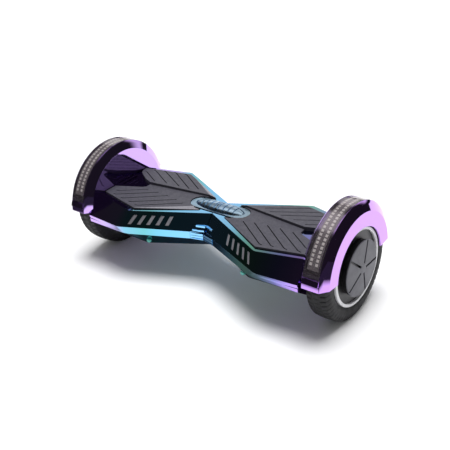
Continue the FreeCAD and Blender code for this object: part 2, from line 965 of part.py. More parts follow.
def make_axle_clamp():
    body = new_body()
    base = sketch(body, offset=D.frame_top)
    polygon(base, [(201, -25), (235, -25), (235, 25), (201, 25)])
    pad(body, base, 6)
    crown = sketch(body, offset=D.frame_top)
    polygon(crown, [(201, -13), (235, -13), (235, 13), (201, 13)])
    pad(body, crown, 13)
    doc.recompute()
    groove = sketch(body, "YZ_Plane", 190)
    circle(groove, 0, D.axle_height, D.axle_radius)
    pocket(body, groove, 60, True)
    holes = sketch(body, offset=D.frame_top + 7)
    for x, y in BOLT_PLACES:
        circle(holes, x, y, 3.2)
    pocket(body, holes, 9)
    doc.recompute()
    return body


def make_bolts():
    bolts = []
    for x, y in BOLT_PLACES:
        head = rod((x, y, D.frame_top + 6), 4, 4.6, UPRIGHT)
        shank = rod((x, y, D.frame_top - 8), 15, 2.9, UPRIGHT)
        bolts.append(fuse([head, shank]))
    return group(bolts)


def make_screws():
    screws = []
    for x, y in SCREW_PLACES:
        head = rod((x, y, D.belly_height + 0.1), 1.0, 3.7, UPRIGHT)
        shank = rod((x, y, D.belly_height + 0.9), 14, 1.8, UPRIGHT)
        screws.append(fuse([head, shank]))
    return group(screws)


def make_pad_sensors():
    """A switch board on the posts under each foot pad."""
    seat = D.frame_top + SENSOR_LIFT - 0.1
    boards = []
    for y in (-40, 44):
        board = box((78, y - 9, seat), (128, y + 9, seat + 1.6))
        switches = [box((x - 4, y - 4, seat + 1.5), (x + 4, y + 4, seat + 4.2)) for x in (92, 114)]
        boards.append(fuse([board] + switches))
    return group(boards)


# ---------------------------------------------------------------- hub motor wheel


def make_tyre():
    body = new_body()
    drawing = sketch(body, "XZ_Plane")
    inner = D.tyre_inner
    outer = D.tyre_outer
    radius = D.tyre_radius
    polygon(
        drawing,
        [
            (inner + 2.5, D.bead_radius),
            (inner, D.bead_radius + 8),
            (inner + 0.5, radius - 10),
            (inner + 3.5, radius - 4.2),
            (inner + 9, radius - 1.1),
            (inner + 15, radius),
            (outer - 15, radius),
            (outer - 9, radius - 1.1),
            (outer - 3.5, radius - 4.2),
            (outer - 0.5, radius - 10),
            (outer, D.bead_radius + 8),
            (outer - 2.5, D.bead_radius),
        ],
    )
    doc.recompute()
    revolve(body, drawing)
    bind_base(body, 0, 0, D.axle_height)
    doc.recompute()
    return body


def make_motor_shell():
    """The rotor drum: the tyre's seat, with the outboard end plate."""
    profile = [
        (D.tyre_inner + 3.5, D.bead_radius - 8),
        (D.tyre_inner + 3.5, D.bead_radius),
        (D.tyre_outer - 3.5, D.bead_radius),
        (D.tyre_outer - 3.5, 14.5),
        (D.tyre_outer - 12, 14.5),
        (D.tyre_outer - 12, 20),
        (D.tyre_outer - 7, 24),
        (D.tyre_outer - 7, D.bead_radius - 8),
    ]
    return turned_body(profile)


def make_motor_cover():
    """The inboard end plate, inside the drum's mouth."""
    inner = D.tyre_inner
    profile = [
        (inner + 3.5, 14.5),
        (inner + 3.5, D.bead_radius - 8),
        (inner + 7.5, D.bead_radius - 8),
        (inner + 7.5, 24),
        (inner + 11.5, 20),
        (inner + 11.5, 14.5),
    ]
    return turned_body(profile)


def make_bearings():
    outer = (D.tyre_outer - 11, D.tyre_inner + 4.2)
    rings = [tube((x, 0, D.axle_height), 7, 14.5, D.axle_radius + D.running_fit) for x in outer]
    return group(rings)


def make_stator():
    body = new_body()
    core = sketch(body, "YZ_Plane", 263)
    circle(core, 0, 0, 44)
    circle(core, 0, 0, 22)
    pad(body, core, 18)
    doc.recompute()
    teeth = sketch(body, "YZ_Plane", 263)
    polygon(
        teeth,
        [
            (-2, 40),
            (2, 40),
            (2, 53),
            (5, 55),
            (5, D.stator_radius),
            (-5, D.stator_radius),
            (-5, 55),
            (-2, 53),
        ],
    )
    tooth = pad(body, teeth, 18)
    doc.recompute()
    polar(body, tooth, 27)
    doc.recompute()
    spider = sketch(body, "YZ_Plane", 269)
    circle(spider, 0, 0, 23)
    circle(spider, 0, 0, D.axle_radius)
    pad(body, spider, 6)
    bind_base(body, 0, 0, D.axle_height)
    doc.recompute()
    return body


def make_axle():
    """A hollow steel axle, held in the frame's saddle; its bore takes the motor lead."""
    body = new_body()
    bar = sketch(body, "YZ_Plane", D.axle_start)
    circle(bar, 0, D.axle_height, D.axle_radius)
    circle(bar, 0, D.axle_height, 3.5)
    pad(body, bar, D.tyre_outer - 3.6 - D.axle_start)
    doc.recompute()
    return body


def make_rim_ring():
    profile = [
        (D.tyre_outer - 3.5, D.ring_inner),
        (D.tyre_outer - 3.5, D.fender_opening - 1),
        (D.tyre_outer + 0.6, D.fender_opening - 1),
        (D.tyre_outer + 1.4, D.fender_opening - 2.5),
        (D.tyre_outer + 1.4, D.ring_inner + 1),
        (D.tyre_outer + 0.4, D.ring_inner),
    ]
    return turned_body(profile)


SLOT_START = 9.5
SLOT_END = 50.0
SLOT_HALF = 1.9
SLOT_TURN = -4.5


def make_hub_cap():
    face = D.cap_face
    profile = [
        (D.tyre_outer - 3.5, 0),
        (D.tyre_outer - 3.5, D.cap_radius - 3),
        (face - 1.2, D.cap_radius),
        (face, D.cap_radius - 1.2),
        (face + D.cap_dome, 0),
    ]
    body = turned_body(profile)
    doc.recompute()
    place = Placement(Vector(0, 0, face.value + 6), Rotation(Vector(0, 0, 1), SLOT_TURN))
    groove = sketch(body, "YZ_Plane", place=place)
    polygon(
        groove,
        [(SLOT_START, -SLOT_HALF), (SLOT_END, -SLOT_HALF), (SLOT_END, SLOT_HALF), (SLOT_START, SLOT_HALF)],
    )
    slot = pocket(body, groove, 8.5)
    doc.recompute()
    polar(body, slot, D.cap_slots)
    doc.recompute()
    return body


# ---------------------------------------------------------------- centre pivot


def make_pivot():
    """The hollow shaft held in the left frame, the two bushes it runs in and the ring on its end."""
    shaft = tube((-50, 0, D.axle_height), 100.5, D.shaft_radius, D.shaft_bore)
    flange = tube((-50, 0, D.axle_height), 4, D.bush_radius - 0.5, D.shaft_bore)
    keep(fuse([shaft, flange]), "pivot_shaft")
    seat = tube((-46, 0, D.axle_height), 38, D.bush_radius, D.shaft_radius)
    keep(seat, "pivot_sleeve")
    bore = D.shaft_radius + D.running_fit
    bushes = [tube((x, 0, D.axle_height), 15, D.bush_radius, bore) for x in (8, 31)]
    keep(group(bushes), "pivot_bushes")
    ring = tube((46.6, 0, D.axle_height), 3, D.bush_radius - 0.5, D.shaft_radius)
    keep(ring, "pivot_ring")


# ---------------------------------------------------------------- electrics


def make_battery():
    """A flat pack of cells in a wrap, with blunted long edges."""
    body = new_body()
    low = D.belly_height + D.wall + 0.6
    high = D.frame_top - D.frame_thickness - 0.6
    half = 38
    blunt = 6
    drawing = sketch(body, "YZ_Plane", 70)
    polygon(
        drawing,
        [
            (-half, low + blunt),
            (-half + blunt, low),
            (half - blunt, low),
            (half, low + blunt),
            (half, high - blunt),
            (half - blunt, high),
            (-half + blunt, high),
            (-half, high - blunt),
        ],
    )
    pad(body, drawing, 124)
    doc.recompute()
    return body


def board_with_parts(low, high, blocks):
    """A circuit board with blocks on top, each given as X, Y, length, width and height."""
    board = box(low, high)
    top = high[2]
    parts = []
    for x, y, length, width, height in blocks:
        near = (x - length / 2, y - width / 2, top - 0.1)
        far = (x + length / 2, y + width / 2, top + height)
        parts.append(box(near, far))
    return fuse([board] + parts)


def make_electrics():
    keep(make_battery(), "battery_pack")
    low = 84.0
    blocks = [(-90, -18, 14, 20, 8), (-90, 16, 16, 16, 6), (-130, 0, 26, 40, 5), (-168, -20, 18, 12, 7)]
    keep(board_with_parts((-184, -36, low), (-74, 36, low + 1.6), blocks), "main_board")
    floor = D.belly_height + D.wall + 0.1
    sink = box((-180, -34, floor), (-78, 34, low))
    gaps = [box((x, -40, floor - 2), (x + 5, 40, 80)) for x in range(-175, -80, 10)]
    keep(cut(sink, gaps), "heat_sink")
    gyro = board_with_parts((30, -25, 126.0), (64, 25, 127.6), [(47, 0, 10, 10, 1.6)])
    keep_both(gyro, "gyro_board")
    magnet = rod((-222, 6, 123), 7, 11, UPRIGHT)
    cone = rod((-222, 6, D.rim_height - D.wall - 4.1), 4, 15, UPRIGHT)
    keep(fuse([magnet, cone]), "speaker")


PORT_LEFT = 180.0
PORT_RIGHT = 232.0
PORT_LOW = 95.0
PORT_HIGH = 106.4
PORT_FACE = 112.0
SOCKET_X = 194.0
BUTTON_X = 220.0
CAP_HINGE = 104.6
CAP_HALF = 8.0
PIN_RADIUS = 1.0
INWARD = Rotation(Vector(1, 0, 0), 90)


def make_ports():
    """The rear panel with the charge socket, its rubber cap and the power button."""
    middle = (PORT_LOW + PORT_HIGH) / 2
    pin_y = PORT_FACE + 1.4
    plate = box(
        (PORT_LEFT + 0.3, PORT_FACE - 5, PORT_LOW + 0.3),
        (PORT_RIGHT - 0.3, PORT_FACE, PORT_HIGH - 0.3),
    )
    ears = []
    for x in (SOCKET_X - CAP_HALF - 2.3, SOCKET_X + CAP_HALF + 0.3):
        ears.append(box((x, PORT_FACE - 0.1, CAP_HINGE - 1.8), (x + 2, PORT_FACE + 2.9, PORT_HIGH - 0.3)))
    socket_hole = rod((SOCKET_X, PORT_FACE + 1, middle), 8, 4.3, INWARD)
    button_hole = rod((BUTTON_X, PORT_FACE + 1, middle), 8, 4.4, INWARD)
    pin_hole = rod((SOCKET_X - 12, pin_y, CAP_HINGE), 24, D.running_fit + PIN_RADIUS)
    keep(cut(fuse([plate] + ears), [socket_hole, button_hole, pin_hole]), "port_panel")
    barrel_out = rod((SOCKET_X, PORT_FACE - 0.2, middle), 15, 4.3, INWARD)
    barrel_in = rod((SOCKET_X, PORT_FACE + 0.5, middle), 9, 3.3, INWARD)
    keep(cut(barrel_out, [barrel_in]), "charge_socket")
    flap = box(
        (SOCKET_X - CAP_HALF, pin_y - PIN_RADIUS, PORT_LOW + 0.4),
        (SOCKET_X + CAP_HALF, pin_y + PIN_RADIUS, CAP_HINGE),
    )
    pin = rod((SOCKET_X - CAP_HALF - 2, pin_y, CAP_HINGE), 2 * CAP_HALF + 4, PIN_RADIUS)
    keep(fuse([flap, pin]), "charge_cap")
    stem = rod((BUTTON_X, PORT_FACE + 1.8, middle), 7.5, 4.1, INWARD)
    flange = rod((BUTTON_X, PORT_FACE - 5.4, middle), 1.5, 5.2, INWARD)
    keep(fuse([stem, flange]), "power_button")


# ---------------------------------------------------------------- build, test and write


def build():
    finish_shells()
    form = shell_solid()
    grilles = group([make_waist_grille(-1, form), make_waist_grille(1, form)])
    keep_both(grilles, "waist_grille")
    keep_both(make_center_cover(), "center_cover")
    keep_both(make_fender(), "fender")
    make_fender_light()
    make_headlights()
    keep_both(make_front_pad(), "front_pad")
    keep_both(make_back_pad(), "back_pad")
    keep_both(make_pad_sensors(), "pad_sensors")
    keep_both(make_frame(), "frame")
    keep_both(make_axle_clamp(), "axle_clamp")
    keep_both(group([make_bolts(), make_screws()]), "screws")
    keep_both(make_axle(), "axle")
    keep_both(make_stator(), "stator")
    keep_both(make_motor_shell(), "motor_shell")
    keep_both(make_motor_cover(), "motor_cover")
    keep_both(make_bearings(), "wheel_bearings")
    keep_both(make_tyre(), "tyre")
    keep_both(make_rim_ring(), "rim_ring")
    keep_both(make_hub_cap(), "hub_cap")
    make_pivot()
    make_electrics()
    make_ports()
    doc.recompute()


def check_and_write():
    """Stop on any failed object or bad shape, then write one file for each sub-part."""
    failed = [thing.Name for thing in doc.Objects if {"Invalid", "Error"} & set(thing.State)]
    if failed:
        raise RuntimeError(f"failed objects: {failed}")
    for thing in subparts:
        if thing.Shape.isNull() or not thing.Shape.isValid() or not thing.Shape.Solids:
            raise RuntimeError(f"bad shape: {thing.Label}")
    os.makedirs("parts", exist_ok=True)
    for thing in subparts:
        thing.Shape.exportStep(os.path.join("parts", f"{thing.Label}.step"))
        print(f"{thing.Label}: {len(thing.Shape.Solids)} solids, {thing.Shape.Volume / 1000:.1f} cm3")


build()
check_and_write()
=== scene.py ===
import math

import bmesh
import bpy
from mathutils import Matrix, Vector


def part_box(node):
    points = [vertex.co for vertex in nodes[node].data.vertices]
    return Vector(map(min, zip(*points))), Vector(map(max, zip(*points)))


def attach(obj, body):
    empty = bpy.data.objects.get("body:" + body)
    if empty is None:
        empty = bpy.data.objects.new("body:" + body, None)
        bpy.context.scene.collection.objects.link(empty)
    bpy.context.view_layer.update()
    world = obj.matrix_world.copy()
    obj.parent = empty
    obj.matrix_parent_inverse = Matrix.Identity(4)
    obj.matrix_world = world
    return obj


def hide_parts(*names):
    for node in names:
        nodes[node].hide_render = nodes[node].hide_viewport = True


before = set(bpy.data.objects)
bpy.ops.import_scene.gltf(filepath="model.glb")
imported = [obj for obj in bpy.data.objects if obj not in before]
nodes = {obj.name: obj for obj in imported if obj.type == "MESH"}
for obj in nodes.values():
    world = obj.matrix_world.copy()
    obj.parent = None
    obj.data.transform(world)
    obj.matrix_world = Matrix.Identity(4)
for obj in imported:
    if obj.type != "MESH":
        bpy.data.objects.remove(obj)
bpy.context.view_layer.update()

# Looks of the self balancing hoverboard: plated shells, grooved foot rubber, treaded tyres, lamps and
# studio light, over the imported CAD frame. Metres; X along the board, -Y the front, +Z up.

MM = 0.001
SIDES = {"left": -1.0, "right": 1.0}


def srgb(red, green, blue):
    """A display colour, 0 to 255 each, as linear RGBA."""
    def linear(value):
        value /= 255.0
        return value / 12.92 if value <= 0.04045 else ((value + 0.055) / 1.055) ** 2.4
    return (linear(red), linear(green), linear(blue), 1.0)


# ---------------------------------------------------------------- materials


# the range that nearly all of a noise texture's values fall in
NOISE_LOW = 0.3
NOISE_HIGH = 0.7


class Chain:
    """A node tree and the steps that materials and the world are both made of."""

    def __init__(self, tree):
        self.tree = tree

    def node(self, kind, **settings):
        made = self.tree.nodes.new(kind)
        for name, value in settings.items():
            setattr(made, name, value)
        return made

    def join(self, source, target):
        self.tree.links.new(source, target)

    def math(self, operation, first, second=0.0):
        made = self.node("ShaderNodeMath", operation=operation)
        for socket, value in zip(made.inputs, (first, second)):
            if isinstance(value, (int, float)):
                socket.default_value = value
            else:
                self.join(value, socket)
        return made.outputs[0]


class Look(Chain):
    """A Principled material with its textures, which follow the object's own coordinates."""

    def __init__(self, name, **sockets):
        self.material = bpy.data.materials.new(name)
        self.material.use_nodes = True
        super().__init__(self.material.node_tree)
        self.shader = self.tree.nodes["Principled BSDF"]
        for socket, value in sockets.items():
            self.shader.inputs[socket.replace("_", " ")].default_value = value
        self.position = self.node("ShaderNodeTexCoord").outputs["Object"]

    def axis(self, letter):
        parts = self.node("ShaderNodeSeparateXYZ")
        self.join(self.position, parts.inputs[0])
        return parts.outputs[letter]

    def noise(self, scale, detail=3.0):
        made = self.node("ShaderNodeTexNoise")
        made.inputs["Scale"].default_value = scale
        made.inputs["Detail"].default_value = detail
        self.join(self.position, made.inputs["Vector"])
        return made.outputs["Fac"]

    def ramp(self, factor, stops):
        made = self.node("ShaderNodeValToRGB")
        elements = made.color_ramp.elements
        while len(elements) < len(stops):
            elements.new(0.5)
        for element, (place, colour) in zip(elements, stops):
            element.position = place
            element.color = colour
        self.join(factor, made.inputs["Fac"])
        return made.outputs["Color"]

    def mottled(self, scale, detail, dark, light):
        """A noise texture between two colours."""
        return self.ramp(self.noise(scale, detail), ((NOISE_LOW, dark), (NOISE_HIGH, light)))

    def blend(self, factor, first, second):
        made = self.node("ShaderNodeMix", data_type="RGBA")
        self.join(factor, made.inputs["Factor"])
        self.join(first, made.inputs[6])
        self.join(second, made.inputs[7])
        return made.outputs[2]

    def spread(self, factor, low, high):
        """A noise factor stretched to run from low to high."""
        made = self.node("ShaderNodeMapRange")
        made.inputs["From Min"].default_value = NOISE_LOW
        made.inputs["From Max"].default_value = NOISE_HIGH
        made.inputs["To Min"].default_value = low
        made.inputs["To Max"].default_value = high
        self.join(factor, made.inputs["Value"])
        return made.outputs["Result"]

    def colour(self, source):
        self.join(source, self.shader.inputs["Base Color"])

    def roughness(self, source):
        self.join(source, self.shader.inputs["Roughness"])

    def bump(self, height, strength, distance):
        made = self.node("ShaderNodeBump")
        made.inputs["Strength"].default_value = strength
        made.inputs["Distance"].default_value = distance
        self.join(height, made.inputs["Height"])
        self.join(made.outputs[0], self.shader.inputs["Normal"])


def speckled(name, dark, light, rough_low, rough_high, scale, grain=0.0, **sockets):
    """A plain moulded, cast or painted surface: mottled colour, uneven sheen and a fine grain."""
    look = Look(name, **sockets)
    look.colour(look.mottled(scale, 4.0, dark, light))
    look.roughness(look.spread(look.noise(scale * 0.4, 2.0), rough_low, rough_high))
    if grain:
        look.bump(look.noise(scale * 3.0, 2.0), 0.5, grain)
    return look.material


# Plating tints along the board, from the far left over the middle to the far right.
PLATING_REACH = 0.31
PLATING = (
    (-0.300, srgb(204, 160, 240)),
    (-0.235, srgb(196, 166, 236)),
    (-0.170, srgb(190, 176, 236)),
    (-0.150, srgb(128, 190, 214)),
    (-0.110, srgb(112, 190, 198)),
    (-0.070, srgb(126, 198, 236)),
    (0.000, srgb(140, 200, 246)),
    (0.060, srgb(128, 190, 226)),
    (0.090, srgb(110, 176, 184)),
    (0.130, srgb(112, 178, 154)),
    (0.160, srgb(120, 160, 166)),
    (0.200, srgb(136, 138, 204)),
    (0.240, srgb(186, 150, 236)),
    (0.300, srgb(200, 152, 234)),
)


def plated(name, roughness, pale=0.0):
    """Mirror plating whose tint drifts along the board, over slightly wavy moulded plastic."""
    look = Look(name, Metallic=1.0)
    waver = look.math("MULTIPLY", look.math("SUBTRACT", look.noise(9.0, 2.0), 0.5), 0.03)
    place = look.math("ADD", look.axis("X"), waver)
    factor = look.math("ADD", look.math("DIVIDE", place, 2 * PLATING_REACH), 0.5)
    stops = []
    for x, colour in PLATING:
        tint = tuple(channel + (1.0 - channel) * pale for channel in colour[:3])
        stops.append((x / (2 * PLATING_REACH) + 0.5, tint + (1.0,)))
    look.colour(look.ramp(factor, stops))
    look.roughness(look.spread(look.noise(60.0, 3.0), roughness, roughness * 2.0))
    look.bump(look.noise(22.0, 1.0), 0.25, 0.00035)
    return look.material


def smoked(name, alpha, tint):
    """Smoked, half clear plastic that mirrors a little."""
    look = Look(name, Metallic=0.8, Alpha=alpha, Coat_Weight=1.0, Coat_Roughness=0.03)
    shade = tuple(0.8 * channel for channel in tint[:3]) + (1.0,)
    look.colour(look.mottled(40.0, 2.0, tint, shade))
    look.roughness(look.spread(look.noise(80.0, 2.0), 0.05, 0.10))
    return look.material


def frosted_lamp():
    """Grey frosted plastic over each headlight, nearly opaque."""
    look = Look("frosted_lamp", Alpha=0.92, Coat_Weight=0.6, Coat_Roughness=0.1)
    look.colour(look.mottled(70.0, 2.0, srgb(112, 110, 116), srgb(126, 124, 130)))
    look.roughness(look.spread(look.noise(80.0, 2.0), 0.32, 0.40))
    return look.material


def stepped_cap():
    """Satin grey on the raised face, black on the side wall and down in the slots."""
    look = Look("hub_cap", Metallic=0.2)
    reach = look.math("ABSOLUTE", look.axis("X"))
    raised = look.math("GREATER_THAN", reach, CAP_FACE_START)
    grey = look.mottled(120.0, 4.0, srgb(78, 78, 85), srgb(92, 92, 99))
    black = look.mottled(90.0, 4.0, srgb(16, 16, 18), srgb(24, 24, 27))
    look.colour(look.blend(raised, black, grey))
    look.roughness(look.spread(look.noise(60.0, 2.0), 0.38, 0.50))
    look.bump(look.noise(360.0, 2.0), 0.5, 0.0001)
    return look.material


CAP_FACE_START = 0.3027
PLATE = plated("plated_shell", 0.035)
PLATE_SATIN = plated("plated_trim", 0.08)
PLATE_COVER = plated("plated_cover", 0.22, pale=0.38)
# bright mint for the plated plugs: a painted reflection in place of their mirror plating
PLUG = speckled("plug_painted_reflection", srgb(92, 180, 170), srgb(110, 200, 188), 0.15, 0.25, 200.0)
SMOKE = smoked("smoked_strip", 0.38, srgb(150, 140, 146))
LAMP_GLASS = frosted_lamp()
BOARD = speckled("led_board", srgb(162, 153, 158), srgb(186, 176, 182), 0.45, 0.6, 300.0)
LED = speckled("led_lamp", srgb(222, 213, 212), srgb(238, 230, 230), 0.25, 0.4, 500.0)
PAD = speckled("pad_rubber", srgb(64, 63, 71), srgb(78, 77, 86), 0.5, 0.66, 260.0, 0.0004)
# a paler copy of the pad rubber for the slanted rim faces: a painted highlight
PAD_HIGHLIGHT = speckled("pad_bevel_highlight", srgb(120, 118, 126), srgb(136, 134, 142), 0.32, 0.44, 260.0, 0.0002)
# a darker copy of the pad rubber for the groove walls and floors: painted shade in the grooves
PAD_GROOVE_SHADE = speckled("pad_groove_shade", srgb(22, 22, 24), srgb(32, 32, 34), 0.7, 0.8, 200.0)
TYRE = speckled("tyre_rubber", srgb(26, 26, 28), srgb(36, 36, 38), 0.6, 0.75, 180.0, 0.0003)
BLACK = speckled("motor_black", srgb(20, 20, 22), srgb(28, 28, 31), 0.32, 0.45, 90.0, 0.0001)
CAP = stepped_cap()
# white for the polished metal ring: a painted reflection of the bright floor it mirrors
RING_REFLECTION = speckled("ring_white", srgb(222, 222, 226), srgb(236, 236, 238), 0.25, 0.35, 70.0)
CAST = speckled(
    "cast_frame", srgb(150, 152, 156), srgb(176, 178, 182), 0.4, 0.55, 140.0, 0.0003, Metallic=1.0
)
STEEL = speckled("steel", srgb(150, 150, 154), srgb(176, 176, 180), 0.22, 0.36, 200.0, 0.0001, Metallic=1.0)
WINDING = speckled("winding", srgb(150, 82, 36), srgb(190, 112, 54), 0.35, 0.5, 400.0, 0.0003, Metallic=0.8)
CIRCUIT = speckled("circuit", srgb(18, 74, 40), srgb(30, 100, 54), 0.3, 0.45, 500.0, 0.0001)
WRAP = speckled("battery_wrap", srgb(22, 66, 150), srgb(34, 84, 176), 0.3, 0.45, 60.0, 0.0003)
PLASTIC = speckled("black_plastic", srgb(26, 26, 28), srgb(38, 38, 41), 0.45, 0.6, 400.0, 0.0002)
BRONZE = speckled(
    "bush_bronze", srgb(160, 116, 60), srgb(186, 138, 78), 0.35, 0.5, 300.0, 0.0002, Metallic=1.0
)
SEAL = speckled("cap_rubber", srgb(30, 30, 32), srgb(42, 42, 44), 0.65, 0.8, 300.0, 0.0003)

FINISHES = {
    PLATE: ("top_shell", "bottom_shell", "waist_grille", "fender"),
    PLATE_COVER: ("center_cover",),
    SMOKE: ("fender_light_lens",),
    LAMP_GLASS: ("headlight_lens",),
    BOARD: ("fender_light_board", "headlight_board"),
    BLACK: ("motor_shell", "motor_cover"),
    CAP: ("hub_cap",),
    RING_REFLECTION: ("rim_ring",),
    CAST: ("frame", "axle_clamp", "heat_sink"),
    STEEL: ("screws", "axle", "wheel_bearings", "pivot_shaft", "pivot_sleeve", "pivot_ring"),
    WINDING: ("stator",),
    CIRCUIT: ("gyro_board", "main_board", "pad_sensors"),
    WRAP: ("battery_pack",),
    PLASTIC: ("speaker", "port_panel"),
    BRONZE: ("pivot_bushes",),
    SEAL: ("charge_cap",),
    PAD: ("front_pad", "back_pad"),
    TYRE: ("tyre",),
    PLATE_SATIN: ("power_button", "charge_socket"),
}


def plain_name(node):
    side, _, rest = node.partition("_")
    return rest if side in SIDES else node


def paint_nodes():
    finish_of = {name: material for material, names in FINISHES.items() for name in names}
    for name, node in nodes.items():
        node.data.materials.clear()
        node.data.materials.append(finish_of[plain_name(name)])


# ---------------------------------------------------------------- mesh helpers


def placed(name, data):
    """A new object for a mesh, lamp or camera, linked into the scene."""
    made = bpy.data.objects.new(name, data)
    bpy.context.scene.collection.objects.link(made)
    return made


def add_piece(name, mesh, body, slot, *materials):
    piece = placed(name, mesh)
    mesh.materials.clear()
    for material in materials:
        mesh.materials.append(material)
    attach(piece, body)
    return piece


def mesh_of(name, builder):
    """A mesh from a bmesh that the builder fills."""
    shape = bmesh.new()
    builder(shape)
    bmesh.ops.recalc_face_normals(shape, faces=shape.faces)
    mesh = bpy.data.meshes.new(name)
    shape.to_mesh(mesh)
    shape.free()
    return mesh


def bridge(shape, lower, upper):
    """A closed wall of faces between two rings of points."""
    for index in range(len(lower)):
        following = (index + 1) % len(lower)
        shape.faces.new((lower[index], lower[following], upper[following], upper[index]))


def drop_custom_normals(mesh):
    if "custom_normal" in mesh.attributes:
        mesh.attributes.remove(mesh.attributes["custom_normal"])


WELD_REACH = 0.00002
FLAT_ANGLE = math.radians(0.3)
SOFT_ANGLE = math.radians(24.0)


def soften(target, width, flatten):
    """Round a CAD piece's sharp edges: join its faces, then bevel what is left of its edges.

    The fenders aren't flattened, as that leaves uneven facets on their cones, which mirror raggedly."""
    drop_custom_normals(target.data)
    target.data.shade_smooth()
    weld = target.modifiers.new("join", "WELD")
    weld.merge_threshold = WELD_REACH
    if flatten:
        flat = target.modifiers.new("flat", "DECIMATE")
        flat.decimate_type = "DISSOLVE"
        flat.angle_limit = FLAT_ANGLE
    edge = target.modifiers.new("edge", "BEVEL")
    edge.width = width
    edge.segments = 2
    edge.limit_method = "ANGLE"
    edge.angle_limit = SOFT_ANGLE
    edge.harden_normals = True
    edge.use_clamp_overlap = True


SOFT_EDGES = {
    "top_shell": 0.7 * MM,
    "bottom_shell": 0.7 * MM,
    "fender": 0.7 * MM,
    "waist_grille": 0.5 * MM,
    "center_cover": 0.4 * MM,
    "hub_cap": 0.4 * MM,
    "motor_shell": 0.5 * MM,
    "rim_ring": 0.5 * MM,
}


def soften_nodes():
    for name, node in nodes.items():
        if plain_name(name) in SOFT_EDGES:
            soften(node, SOFT_EDGES[plain_name(name)], plain_name(name) != "fender")


# ---------------------------------------------------------------- foot pads

GROOVE_HALF = 0.9 * MM
GROOVE_DEPTH = 2.2 * MM
CUTTER_TOP = 0.16
MITRE_LIMIT = 0.5
# the short turn at the outer end of each groove
HOOK = (6.5 * MM, -1.2 * MM)
# start and end of each groove of a right-hand pad, in millimetres
FRONT_GROOVES = (
    ((72, -24), (144, -75)),
    ((93, -18), (165, -70)),
    ((119, -14), (190, -66)),
    ((145, -12), (215, -61)),
    ((172, -12), (221, -46)),
)
BACK_GROOVES = (
    ((80, 34), (148, 79)),
    ((97, 25), (172, 74)),
    ((122, 24), (196, 68)),
    ((152, 21), (216, 60)),
    ((180, 16), (228, 45)),
)


def ribbon(shape, points, half, low, high):
    """A closed bar that follows plan points, mitred at its corners, between two heights."""
    sides = ([], [])
    for index, point in enumerate(points):
        before = points[max(index - 1, 0)]
        after = points[min(index + 1, len(points) - 1)]
        along = (after - before).normalized()
        across = Vector((-along.y, along.x))
        first = (point - before).normalized() if index else along
        reach = half / max(MITRE_LIMIT, first.dot(along))
        sides[0].append(point + across * reach)
        sides[1].append(point - across * reach)
    outline = sides[0] + sides[1][::-1]
    lower = [shape.verts.new((p.x, p.y, low)) for p in outline]
    upper = [shape.verts.new((p.x, p.y, high)) for p in outline]
    shape.faces.new(lower[::-1])
    shape.faces.new(upper)
    bridge(shape, lower, upper)


def groove_cutter(name, grooves, side, surface, hook):
    def build(shape):
        for start, end in grooves:
            points = [Vector(start) * MM, Vector(end) * MM]
            points.append(points[-1] + Vector(hook))
            points = [Vector((side * p.x, p.y)) for p in points]
            bottom = min(surface(p.y) for p in points) - GROOVE_DEPTH
            ribbon(shape, points, GROOVE_HALF, bottom, CUTTER_TOP)
    return placed(name, mesh_of(name, build))


def flat_copy(node, name):
    """A welded copy of a CAD node's mesh, its coplanar triangles joined."""
    mesh = node.data.copy()
    mesh.name = name
    drop_custom_normals(mesh)
    shape = bmesh.new()
    shape.from_mesh(mesh)
    bmesh.ops.remove_doubles(shape, verts=shape.verts, dist=WELD_REACH)
    bmesh.ops.dissolve_limit(
        shape, angle_limit=FLAT_ANGLE, verts=shape.verts, edges=shape.edges
    )
    shape.to_mesh(mesh)
    shape.free()
    return mesh


# how level a face is, as the upward part of its normal, and how far one leans along the board
WALL_LEVEL = 0.5
TOP_LEVEL = 0.9
FLAT_LEVEL = 0.995
BEVEL_LEAN = 0.03
FLOOR_DROP = 1.2 * MM
PAD_BEVEL = 0.45 * MM
PAD_BEVEL_ANGLE = math.radians(30)


def make_pad(side_name, end, grooves, surface, hook):
    """The rubber of one foot pad: the CAD block with its grooves cut and its edges rounded."""
    side = SIDES[side_name]
    node_name = f"{side_name}_{end}_pad"
    source = nodes[node_name]
    rubber = add_piece(
        f"{node_name}_rubber", flat_copy(source, node_name), node_name, "foot_rubber",
        PAD, PAD_HIGHLIGHT, PAD_GROOVE_SHADE,
    )
    cutter = groove_cutter(f"{node_name}_cutter", grooves, side, surface, hook)
    cutter.data.materials.append(PAD)
    carve = rubber.modifiers.new("grooves", "BOOLEAN")
    carve.operation = "DIFFERENCE"
    carve.object = cutter
    carve.solver = "EXACT"
    bpy.context.view_layer.update()
    carved = bpy.data.meshes.new_from_object(
        rubber.evaluated_get(bpy.context.evaluated_depsgraph_get())
    )
    rubber.modifiers.clear()
    rubber.data = carved
    bpy.data.objects.remove(cutter)
    # groove walls and floors get painted shade; the slanted rim faces get a painted highlight where the
    # light catches them, on the back pads and the left front pad, but not on the right front pad
    rim_highlit = end == "back" or side < 0
    for face in carved.polygons:
        normal = face.normal
        slanted = TOP_LEVEL < normal.z < FLAT_LEVEL and abs(normal.x) > BEVEL_LEAN
        sunk = face.center.z < surface(face.center.y) - FLOOR_DROP
        if abs(normal.z) < WALL_LEVEL and inside_outline(face.center):
            face.material_index = 2
        elif rim_highlit and slanted:
            face.material_index = 1
        elif normal.z > TOP_LEVEL and sunk:
            face.material_index = 2
    carved.shade_smooth()
    edge = rubber.modifiers.new("edge", "BEVEL")
    edge.width = PAD_BEVEL
    edge.segments = 2
    edge.limit_method = "ANGLE"
    edge.angle_limit = PAD_BEVEL_ANGLE
    edge.harden_normals = True
    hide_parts(node_name)


